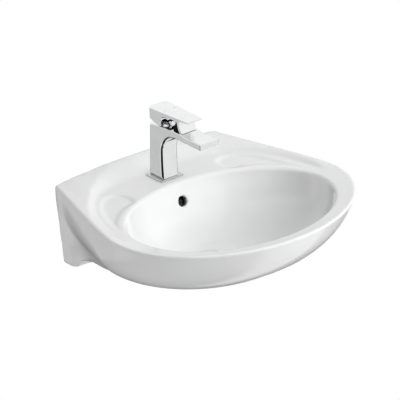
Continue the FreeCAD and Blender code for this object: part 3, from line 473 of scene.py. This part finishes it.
def outerField(x, y, z, c):
    # shell, flanks and feet in one skin
    deep = smoothStep(-z, *foot["deep"])
    near, far = foot["flankBlend"]
    outer = softJoin(shellField(x, y, z, c, 0.0), keelField(x, y, z), near + (far - near) * deep)
    spread = foot["blend"] + (foot["valley"] - foot["blend"]) * deep
    atWall = deep * 0.7 * (1.0 - smoothStep(-y, 8.0, 40.0))
    atBottom = 0.75 * smoothStep(-z, 134.0, 150.0)
    return softJoin(outer, footField(x, y, z), spread * (1.0 - atWall) * (1.0 - atBottom))


def ductField(x, y, z, c, size):
    deep, half, top, bottom = size
    ductY = bowlBackY(z, c) + cuts["ductBack"]
    return np.maximum(np.abs(y - ductY) - deep, np.maximum(x - half, np.maximum(z - top, bottom - z)))


def padField(x, y, z, c):
    return np.maximum(np.hypot(x, y - c["wasteY"]) - cuts["padR"], cuts["padBottom"] - z)


def hollowField(x, y, z, c):
    # the room behind and under the bowl
    behind = np.maximum(x - foot["keelHalf"] + foot["keelWall"], -92.0 - y)
    room = np.minimum(shellField(x, y, z, c, c["wall"]), behind)
    room = roundMeet(room, z - c["deckUnder"], 10.0)
    bowlWall = np.minimum(bowlField(x, y, z, c, c["bowlWall"]), padField(x, y, z, c))
    panel = boxField(x, y, z, *cuts["panel"], 1.0)
    keep = np.minimum(footField(x, y, z), ductField(x, y, z, c, cuts["ductWall"]))
    keep = np.minimum(np.minimum(bowlWall, panel), keep)
    return roundMeet(room, -keep, c["hollowR"])


def mouthField(x, y, z):
    # the overflow hole, square to the bowl's leaning back wall
    mouthY, mouthZ, r, length = cuts["mouth"]
    slant = cuts["mouthSlant"]
    along = (y - mouthY + (z - mouthZ) * slant) / math.hypot(1.0, slant)
    across = np.hypot(x, (z - mouthZ + (y - mouthY) * slant) / math.hypot(1.0, slant))
    return np.maximum(across - r, along - length)


def chinaField(px, y, z, c, top):
    x = np.abs(px)
    solid = roundMeet(outerField(x, y, z, c), z - top.at(x, y), c["edgeR"])
    solid = roundMeet(solid, y, 2.0)
    solid = roundMeet(solid, -hollowField(x, y, z, c), 3.0)
    pad = padField(x, y, z, c)
    nearPad = (z > cuts["padBottom"]) & (pad < 40.0)
    solid = np.where(nearPad, np.minimum(solid, np.maximum(pad, z + 120.0)), solid)
    solid = roundMeet(solid, -bowlField(x, y, z, c, 0.0), c["bowlEdgeR"])
    tapY, tapR = cuts["tapHole"]
    solid = roundMeet(solid, tapR - np.hypot(x, y - tapY), 1.0)
    boltX, boltZ, boltR, boltDeep = cuts["bolt"]
    bolt = np.maximum(np.hypot(x - boltX, z - boltZ) - boltR, -boltDeep - y)
    solid = roundMeet(solid, -bolt, 0.8)
    drain = np.hypot(x, y - c["wasteY"])
    solid = roundMeet(solid, cuts["drainR"] - drain, 1.0)
    solid = roundMeet(solid, -np.maximum(drain - cuts["seatR"], c["seatZ"] - z), 1.0)
    overflow = np.minimum(ductField(x, y, z, c, cuts["duct"]), mouthField(x, y, z))
    return roundMeet(solid, -overflow, 2.0)


def surfaceNet(field, low, high, cell):
    # a closed quad mesh of the field's zero level, one point in each cell that it crosses
    axes = [np.arange(a, b + cell, cell) for a, b in zip(low, high)]
    grid = np.empty([len(a) for a in axes])
    for i, x in enumerate(axes[0]):
        y, z = np.meshgrid(axes[1], axes[2], indexing="ij")
        grid[i] = field(np.full(y.shape, x), y, z)
    inside = grid < 0.0
    shape = [n - 1 for n in grid.shape]
    total = np.zeros(shape + [3])
    count = np.zeros(shape)
    corners = [(i, j, k) for i in (0, 1) for j in (0, 1) for k in (0, 1)]
    for a in corners:
        for axis in range(3):
            if a[axis]:
                continue
            b = list(a)
            b[axis] = 1
            va = grid[a[0]:a[0] + shape[0], a[1]:a[1] + shape[1], a[2]:a[2] + shape[2]]
            vb = grid[b[0]:b[0] + shape[0], b[1]:b[1] + shape[1], b[2]:b[2] + shape[2]]
            cross = (va < 0.0) != (vb < 0.0)
            share = np.where(cross, va / np.where(cross, va - vb, 1.0), 0.0)
            for m in range(3):
                total[..., m] += np.where(cross, a[m] + (share if m == axis else 0.0), 0.0)
            count += cross
    used = count > 0
    index = np.full(shape, -1)
    index[used] = np.arange(used.sum())
    at = np.argwhere(used)
    points = np.array(low) + (at + total[used] / count[used][:, None]) * cell
    faces = []
    for axis in range(3):
        u, v = [(axis + 1) % 3, (axis + 2) % 3]
        first = [slice(None)] * 3
        second = [slice(None)] * 3
        first[axis], second[axis] = slice(0, -1), slice(1, None)
        a, b = inside[tuple(first)], inside[tuple(second)]
        where = np.argwhere(a != b)
        within = (where[:, u] > 0) & (where[:, v] > 0)
        where = where[within & (where[:, u] < shape[u]) & (where[:, v] < shape[v])]
        ring = []
        for du, dv in ((-1, -1), (0, -1), (0, 0), (-1, 0)):
            q = where.copy()
            q[:, u] += du
            q[:, v] += dv
            ring.append(index[q[:, 0], q[:, 1], q[:, 2]])
        quad = np.stack(ring, axis=1)
        out = a[where[:, 0], where[:, 1], where[:, 2]]
        faces.append(np.where(out[:, None], quad, quad[:, ::-1]))
    return points, np.vstack(faces)


def settle(points, field, rounds, reach):
    # move the points onto the surface along its steepest way
    for _ in range(rounds):
        e = 0.25
        x, y, z = points.T
        value = field(x, y, z)
        slope = np.stack([field(x + e, y, z) - field(x - e, y, z), field(x, y + e, z) - field(x, y - e, z),
                          field(x, y, z + e) - field(x, y, z - e)], axis=1) / (2.0 * e)
        size = (slope ** 2).sum(axis=1) + 1e-4
        move = -slope * (value / size)[:, None]
        length = np.linalg.norm(move, axis=1)[:, None]
        points = points + move * np.minimum(1.0, reach / (length + 1e-9))
    return points


def relax(points, faces, amount):
    # even out the spacing: each point moves towards the middle of its neighbours
    total = np.zeros_like(points)
    count = np.zeros(len(points))
    for k in range(4):
        a, b = faces[:, k], faces[:, (k + 1) % 4]
        np.add.at(total, a, points[b])
        np.add.at(total, b, points[a])
        np.add.at(count, a, 1)
        np.add.at(count, b, 1)
    middle = total / np.maximum(count, 1)[:, None]
    return points + (middle - points) * amount


def soften(points, faces, share, rounds):
    # relax only where the share is above 0, which turns a crease into a soft hollow
    near = faces[(share[faces] > 0.0).any(axis=1)]
    used, local = np.unique(near, return_inverse=True)
    local = local.reshape(near.shape)
    part = points[used]
    for _ in range(rounds):
        part = part + (relax(part, local, 1.0) - part) * (0.6 * share[used])[:, None]
    points = points.copy()
    points[used] = part
    return points


def meshObject(name, points, faces):
    mesh = bpy.data.meshes.new(name)
    mesh.from_pydata((np.asarray(points) * 0.001).tolist(), [], np.asarray(faces).tolist())
    mesh.update()
    mesh.shade_smooth()
    made = bpy.data.objects.new(name, mesh)
    scene.collection.objects.link(made)
    return made


def besideFoot(points):
    # how much each point belongs to the hollow beside the foot
    x, y, z = points.T
    share = band(-z, *foot["softZ"]) * band(-y, *foot["softY"])
    return share * smoothStep(np.abs(x), *foot["softX"])


def insideHollow(points):
    # points that no view shows, which need few triangles
    x, y, z = points.T
    behindBowl = bowlField(x, y, z, china, 0.0) > 8.0
    behindShell = shellField(np.abs(x), y, z, china, 0.0) < -6.0
    return np.where(behindBowl & behindShell & (z < china["deckUnder"] + 2.0) & (y < -16.0))[0]


def ductShadeMask(points):
    # 1 on the walls of the overflow duct, where its shade is painted black, 0 elsewhere
    x, y, z = points.T
    deep = smoothStep(bowlField(x, y, z, china, 0.0), 1.6, 4.2)
    near = (np.abs(x) < 20.0) & (z < -26.5) & (z > -110.0)
    return deep * near * (y < bowlBackY(z, china) + 25.0) * (y > -175.0)


def thinned(made, points, triangles):
    # the given points' faces are merged until the mesh holds about this many triangles
    group = made.vertex_groups.new(name="hollow")
    group.add(points.tolist(), 1.0, "REPLACE")
    thin = made.modifiers.new("thinHollow", "DECIMATE")
    thin.vertex_group = "hollow"
    thin.ratio = min(1.0, triangles / (2.0 * len(made.data.polygons)))
    mesh = bpy.data.meshes.new_from_object(made.evaluated_get(bpy.context.evaluated_depsgraph_get()))
    made.modifiers.clear()
    made.vertex_groups.clear()
    made.data = mesh
    mesh.name = made.name
    mesh.shade_smooth()
    return mesh


def makeBasin():
    top = TopSurface(china)

    def field(x, y, z):
        return chinaField(x, y, z, china, top)

    cell = china["cell"]
    across = math.ceil(258.0 / cell)
    low = (-across * cell, -440.0, -162.0)
    high = (across * cell, 6.0, 14.0)
    points, faces = surfaceNet(field, low, high, cell)
    points = settle(points, field, 2, 1.0)
    for _ in range(2):
        points = relax(points, faces, 0.5)
        points = settle(points, field, 2, 1.0)
    points = soften(points, faces, besideFoot(points), foot["softRounds"])
    points[:, 1] = np.minimum(points[:, 1], -0.02)
    made = meshObject("basin", points, faces)
    mesh = thinned(made, insideHollow(points), china["triangles"])
    flat = np.empty(len(mesh.vertices) * 3)
    mesh.vertices.foreach_get("co", flat)
    # painted shade: the duct's walls get a share of black that stands for the darkness inside it
    ductShadeShare = ductShadeMask(flat.reshape(-1, 3) * 1000.0)
    mesh.attributes.new("ductShadeShare", "FLOAT", "POINT").data.foreach_set("value", ductShadeShare.astype(np.float32))
    print("basin mesh:", len(faces), "faces made,", len(mesh.polygons), "kept")
    return made


def glazeFinish():
    f = Finish("whiteGlaze")
    glaze = china["glazeWhite"]
    tint = f.mixColour(f.noise(9.0).step(0.35, 0.65), glaze, dimmed(glaze, 0.985))
    ductShadeShare = f.node("ShaderNodeAttribute", {"attribute_name": "ductShadeShare"}).outputs["Fac"]
    # the inside of the overflow duct is painted black, as painted shade
    colour = f.mixColour(ductShadeShare, tint, china["ductPaintedShade"])
    normal = f.bump(f.noise(34.0), 0.12, 0.0012)
    rough = f.noise(60.0) * 0.05 + (china["glazeRoughness"] - 0.02)
    return f.surface(Base_Color=colour, Roughness=rough, IOR=1.52, Normal=normal)


basin = makeBasin()
basin.data.materials.append(glazeFinish())
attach(basin, "root")
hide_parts("basin_body")
basin.visible_glossy = False  # the photograph's tap shows the studio in its chrome, not the basin
print("basin done")


# metal, rubber and plastic for the solids that are shown as they are

def chromeFinish(name, tone, roughness, grain):
    f = Finish(name)
    film = f.noise(grain, 3.0, 0.55)
    colour = f.mixColour(film.step(0.3, 0.7), dimmed(tone, 1.0), dimmed(tone, 0.96))
    rough = film * 0.02 + roughness
    normal = f.bump(f.noise(30.0, 1.0, 0.4), 0.03, 0.0004)
    return f.surface(Base_Color=colour, Metallic=1.0, Roughness=rough, Normal=normal)


def dullFinish(name, tone, roughness, grain, metallic=0.0, strength=0.25):
    f = Finish(name)
    film = f.noise(grain, 4.0, 0.6)
    colour = f.mixColour(film.step(0.25, 0.75), dimmed(tone, 1.0), dimmed(tone, 0.82))
    rough = film * 0.12 + roughness
    normal = f.bump(film, strength, 0.0003)
    return f.surface(Base_Color=colour, Metallic=metallic, Roughness=rough, Normal=normal)


slotFinishes = {
    "tap_chrome": chromeFinish("tapChrome", (0.86, 0.865, 0.87), 0.045, 60.0),
    "plate_chrome": chromeFinish("plateChrome", (0.58, 0.585, 0.59), 0.05, 60.0),
    "handle_chrome": chromeFinish("handleChrome", (0.87, 0.875, 0.88), 0.05, 60.0),
    "dome_chrome": chromeFinish("domeChrome", (0.82, 0.825, 0.83), 0.03, 60.0),
    "waste_chrome": chromeFinish("wasteChrome", (0.84, 0.845, 0.85), 0.07, 80.0),
    "brass_bare": dullFinish("bareBrass", (0.62, 0.48, 0.24), 0.3, 220.0, 1.0),
    "steel_zinc": dullFinish("zincSteel", (0.55, 0.56, 0.58), 0.34, 260.0, 1.0),
    "rubber_black": dullFinish("blackRubber", (0.03, 0.03, 0.03), 0.62, 300.0),
    "rubber_grey": dullFinish("greyRubber", (0.2, 0.2, 0.2), 0.6, 300.0),
    "disc_ceramic": dullFinish("lappedCeramic", (0.82, 0.8, 0.76), 0.28, 400.0, 0.0, 0.05),
    "cartridge_plastic": dullFinish("cartridgePlastic", (0.78, 0.78, 0.75), 0.42, 200.0, 0.0, 0.1),
    "aerator_plastic": dullFinish("aeratorPlastic", (0.6, 0.61, 0.62), 0.45, 300.0, 0.0, 0.1),
    "dot_paint": dullFinish("greyDot", (0.2, 0.2, 0.21), 0.4, 500.0, 0.0, 0.1),
}
darkNut = dullFinish("darkenedNut", (0.09, 0.085, 0.08), 0.3, 220.0, 1.0)
nodeFinishes = {"retaining_nut": darkNut, "stem": darkNut}
for part in frame["record"]["subparts"]:
    finish = nodeFinishes.get(part["node"], slotFinishes.get(part["material_slot"]))
    if finish:
        mesh = frame["nodes"][part["node"]].data
        mesh.materials.clear()
        mesh.materials.append(finish)


def softEdges(node, width):
    # a small round on every sharp edge of a polished part, which the light picks out
    owner = frame["nodes"][node]
    joined = owner.modifiers.new("joinedFaces", "WELD")
    joined.merge_threshold = 0.00001
    made = owner.modifiers.new("softEdges", "BEVEL")
    made.width = width
    made.segments = 3
    made.limit_method = "ANGLE"
    made.angle_limit = math.radians(28.0)
    made.use_clamp_overlap = False
    shading = owner.modifiers.new("evenShading", "WEIGHTED_NORMAL")
    shading.weight = 80


softEdges("tap_base_plate", 0.0006)
print("finishes done")


# the tap body: one polished form with a full round along the arch and the front corners

tap = {
    "cell": 0.9,
    "backY": -59.5,
    "frontY": -94.0,
    "lowZ": -4.0,
    "flare": 3.5,
    "archDepth": 42.0,
    "archRise": 37.0,
    "archZ": 50.0,
    "tip": (-202.0, 88.6, 99.0),  # y, under side, top
    "tipLean": 1.2,
    "head": (-87.0, 95.9, 4.08),  # y, z and tilt of the cartridge's axis
    "sweepStart": 60.0,
    "sweepLength": 19.0,
    "halfColumn": 18.75,
    "halfTip": 21.5,
    "cornerR": 4.5,
    "edgeR": 0.8,
    "seats": ((12.6, 22.0), (14.1, 3.0)),  # radius and depth of the cartridge's bore and its mouth
    "bores": ((0.0, -189.0, 9.2, 80.0, 94.6), (0.0, -69.0, 4.0, -10.0, 10.0), (7.6, -84.0, 4.5, -10.0, 8.0)),
}


def bend(start, middle, end, steps=10):
    # points of a curve through three points
    a, b, c = [np.array(p, float) for p in (start, middle, end)]
    t = np.linspace(0.0, 1.0, steps + 1)[:, None]
    return a * (1 - t) * (1 - 2 * t) + b * 4 * t * (1 - t) + c * t * (2 * t - 1)


def tapOutline(c):
    # the side view, from the foot of the back round by the spout and the arch
    tilt = math.radians(c["head"][2])

    def onTop(s):
        return (c["head"][0] - s * math.cos(tilt), c["head"][1] + s * math.sin(tilt))

    backTop = onTop(c["head"][0] - c["backY"])
    frontTop = onTop(c["sweepStart"])
    tipY, tipLow, tipHigh = c["tip"]
    root = (frontTop[0] - c["sweepLength"], tipHigh - 1.2)
    sweepMid = ((frontTop[0] + root[0]) / 2.0, frontTop[1] * 0.2 + root[1] * 0.8)
    a = np.linspace(math.pi / 2.0, 0.0, 25)
    archY = c["frontY"] - c["archDepth"] + c["archDepth"] * np.cos(a)
    arch = np.stack([archY, c["archZ"] + c["archRise"] * np.sin(a)], axis=1)
    frontLow = (c["frontY"] - c["flare"], c["lowZ"])
    flareMid = (frontLow[0] + 0.75 * c["flare"], (c["lowZ"] + c["archZ"]) / 2.0)
    spoutTip = [(tipY + c["tipLean"], tipHigh), (tipY, tipLow)]
    return np.vstack([[(c["backY"], c["lowZ"]), backTop], bend(frontTop, sweepMid, root),
                      spoutTip, arch, bend(arch[-1], flareMid, frontLow)[1:]])


def tapField(x, y, z, c, outline):
    side = lineDistance(outline, y, z, closed=True)
    side = np.where(insideOf(outline, y, z), -side, side)
    spoutY = c["frontY"] - 6.0
    out = np.maximum(0.0, (spoutY - y) / (spoutY - c["tip"][0]))
    flank = np.abs(x) - (c["halfColumn"] + (c["halfTip"] - c["halfColumn"]) * out)
    sharpTop = smoothStep(z, 84.0, 92.0) * smoothStep(-y, 64.0, 72.0)
    sharpTip = 0.8 * smoothStep(-y, 128.0, 160.0)
    share = (1.0 - sharpTop) * (1.0 - sharpTip)
    solid = roundMeet(side, flank, c["edgeR"] + (c["cornerR"] - c["edgeR"]) * share)
    headY, headZ, lean = c["head"]
    tilt = math.radians(lean)
    along = (y - headY) * math.sin(tilt) + (z - headZ) * math.cos(tilt)
    forward = (y - headY) * math.cos(tilt) - (z - headZ) * math.sin(tilt)
    radius = np.hypot(x, forward)
    for r, depth in c["seats"]:
        solid = np.maximum(solid, -np.maximum(radius - r, -depth - along))
    for sideX, holeY, r, low, high in c["bores"]:
        hole = np.hypot(np.abs(x) - sideX, y - holeY) - r
        solid = np.maximum(solid, -np.maximum(hole, np.maximum(low - z, z - high)))
    return solid


def makeTap():
    outline = tapOutline(tap)

    def field(x, y, z):
        return tapField(x, y, z, tap, outline)

    cell = tap["cell"]
    low = (-cell * 26, -206.0, -7.0)
    high = (cell * 26, -56.0, 103.0)
    points, faces = surfaceNet(field, low, high, cell)
    points = settle(points, field, 3, 0.6)
    points = relax(points, faces, 0.4)
    points = settle(points, field, 3, 0.6)
    made = meshObject("tapForm", points, faces)
    made.data.materials.append(slotFinishes["tap_chrome"])
    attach(made, "root")
    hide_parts("tap_body")
    print("tap form:", len(faces), "faces")
    return made


tapForm = makeTap()


# floor, light and camera

stage = {
    "floorDrop": 0.7,  # the basin hangs on a wall, so the floor is far below it
    "floorHalf": 14.0,
    "floorTone": 0.86,
    "keyPower": 67.0,
    "keySpot": (1.65, -2.25, 1.5),
    "keyAim": (0.0, -0.2, -0.05),
    "keySize": 2.2,
    "skyLevel": 0.55,
    "tentRadius": 1.6,
    "tentY": -0.15,
    "tentFaces": (48, 24),
}
view = {
    "azimuth": -40.3,
    "elevation": 25.0,
    "aim": (-0.0285, -0.2098, 0.0),
    "distance": 6.9634,
    "lens": 360.0,
}
white = (1.0, 1.0, 1.0, 1.0)


def makeSky():
    f = Finish("studio", "worlds", "ShaderNodeOutputWorld")
    scene.world = f.owner
    lit = f.node("ShaderNodeBackground", Color=white, Strength=stage["skyLevel"])
    f.whiteBehind(lit, f.node("ShaderNodeBackground", Color=white, Strength=1.0))


def makeKey(unshaded):
    # one large soft lamp on the right, for which the given pieces throw no shadow
    data = bpy.data.lights.new("key", "AREA")
    data.shape = "RECTANGLE"
    data.size = stage["keySize"]
    data.size_y = stage["keySize"]
    data.energy = stage["keyPower"]
    key = bpy.data.objects.new("key", data)
    scene.collection.objects.link(key)
    spot = Vector(stage["keySpot"])
    key.location = spot
    key.rotation_euler = (Vector(stage["keyAim"]) - spot).to_track_quat("-Z", "Y").to_euler()
    key.visible_glossy = False
    group = bpy.data.collections.new("unshaded")
    for piece in unshaded:
        group.objects.link(piece)
    key.light_linking.blocker_collection = group
    for entry in group.collection_objects:
        entry.light_linking.link_state = "EXCLUDE"


def makeCamera():
    azimuth, elevation = math.radians(view["azimuth"]), math.radians(view["elevation"])
    away = math.cos(elevation)
    back = Vector((math.sin(azimuth) * away, -math.cos(azimuth) * away, math.sin(elevation)))
    data = bpy.data.cameras.new("camera")
    data.lens = view["lens"]
    data.sensor_width = 36.0
    data.clip_start = 0.1
    data.clip_end = 100.0
    camera = bpy.data.objects.new("camera", data)
    scene.collection.objects.link(camera)
    camera.location = Vector(view["aim"]) + back * view["distance"]
    camera.rotation_mode = "QUATERNION"
    camera.rotation_quaternion = (-back).to_track_quat("-Z", "Y")
    scene.camera = camera


def stageObject(name, points, faces, finish):
    mesh = bpy.data.meshes.new(name)
    mesh.from_pydata(points, [], faces)
    mesh.materials.append(finish)
    made = bpy.data.objects.new(name, mesh)
    scene.collection.objects.link(made)
    return made


def floorFinish():
    # diffuse for light on the object, plain white for the camera
    f = Finish("paleFloor")
    pale = (stage["floorTone"],) * 3
    colour = f.mixColour(f.noise(3.0), dimmed(pale, 1.0), dimmed(pale, 0.97))
    lit = f.node("ShaderNodeBsdfDiffuse", Color=colour)
    return f.whiteBehind(lit, f.node("ShaderNodeEmission", Color=white, Strength=1.0))


def makeFloor():
    h, z = stage["floorHalf"], -stage["floorDrop"]
    corners = [(-h, -h, z), (h, -h, z), (h, h, z), (-h, h, z)]
    floor = stageObject("floor", corners, [(0, 1, 2, 3)], floorFinish())
    floor.visible_glossy = False  # reflections see the tent instead


def tentFinish():
    # brighter to the right, with a white roof, a light patch and a dark gap on the camera's side,
    # and dark strips at the back and low down
    f = Finish("tentCloth")
    x, y, z = f.axes()
    scale = 1.0 / stage["tentRadius"]
    dx, dy, dz = x * scale, (y - stage["tentY"]) * scale, z * scale
    toCamera = dx * -0.76 + dy * -0.65
    toRight = dx * 0.65 + dy * -0.76
    toBack = -toCamera
    bright = toRight.step(-0.45, 0.5) * 0.27 + 0.62
    patches = [
        (dz.step(0.05, 0.3), 1.0),
        (toCamera.step(0.12, 0.24), 0.97),
        (toCamera.step(0.5, 0.58) * (1.0 - dz.step(0.3, 0.45)), 0.02),
        (toBack.step(0.48, 0.56) * (1.0 - toBack.step(0.8, 0.86)) * (1.0 - dz.step(0.0, 0.15)), 0.1),
        ((-dz).step(0.58, 0.68) * (1.0 - dx.step(0.25, 0.4)), 0.03),
    ]
    for share, tone in patches:
        bright = bright * (1.0 - share) + share * tone
    grey = f.node("ShaderNodeCombineColor", Red=bright, Green=bright, Blue=bright)
    return f.close(f.node("ShaderNodeEmission", Color=grey.outputs[0], Strength=1.0))


def makeTent():
    # a round tent that only reflections see
    r = stage["tentRadius"]
    across, up = stage["tentFaces"]
    points, faces = [], []
    for j in range(up + 1):
        tilt = math.pi * j / up
        for i in range(across):
            turn = 2.0 * math.pi * i / across
            wide = r * math.sin(tilt)
            points.append((wide * math.cos(turn), wide * math.sin(turn) + stage["tentY"], r * math.cos(tilt)))
    for j in range(up):
        for i in range(across):
            a, b = j * across + i, j * across + (i + 1) % across
            faces.append((a, b, b + across, a + across))
    tent = stageObject("tent", points, faces, tentFinish())
    for rays in ("camera", "diffuse", "transmission", "shadow", "volume_scatter"):
        setattr(tent, "visible_" + rays, False)


makeSky()
makeKey([tapForm] + [frame["nodes"][name] for name in ("lever_handle", "cartridge_dome", "tap_base_plate")])
makeFloor()
makeTent()
makeCamera()
scene.view_settings.view_transform = "Standard"
print("stage done")
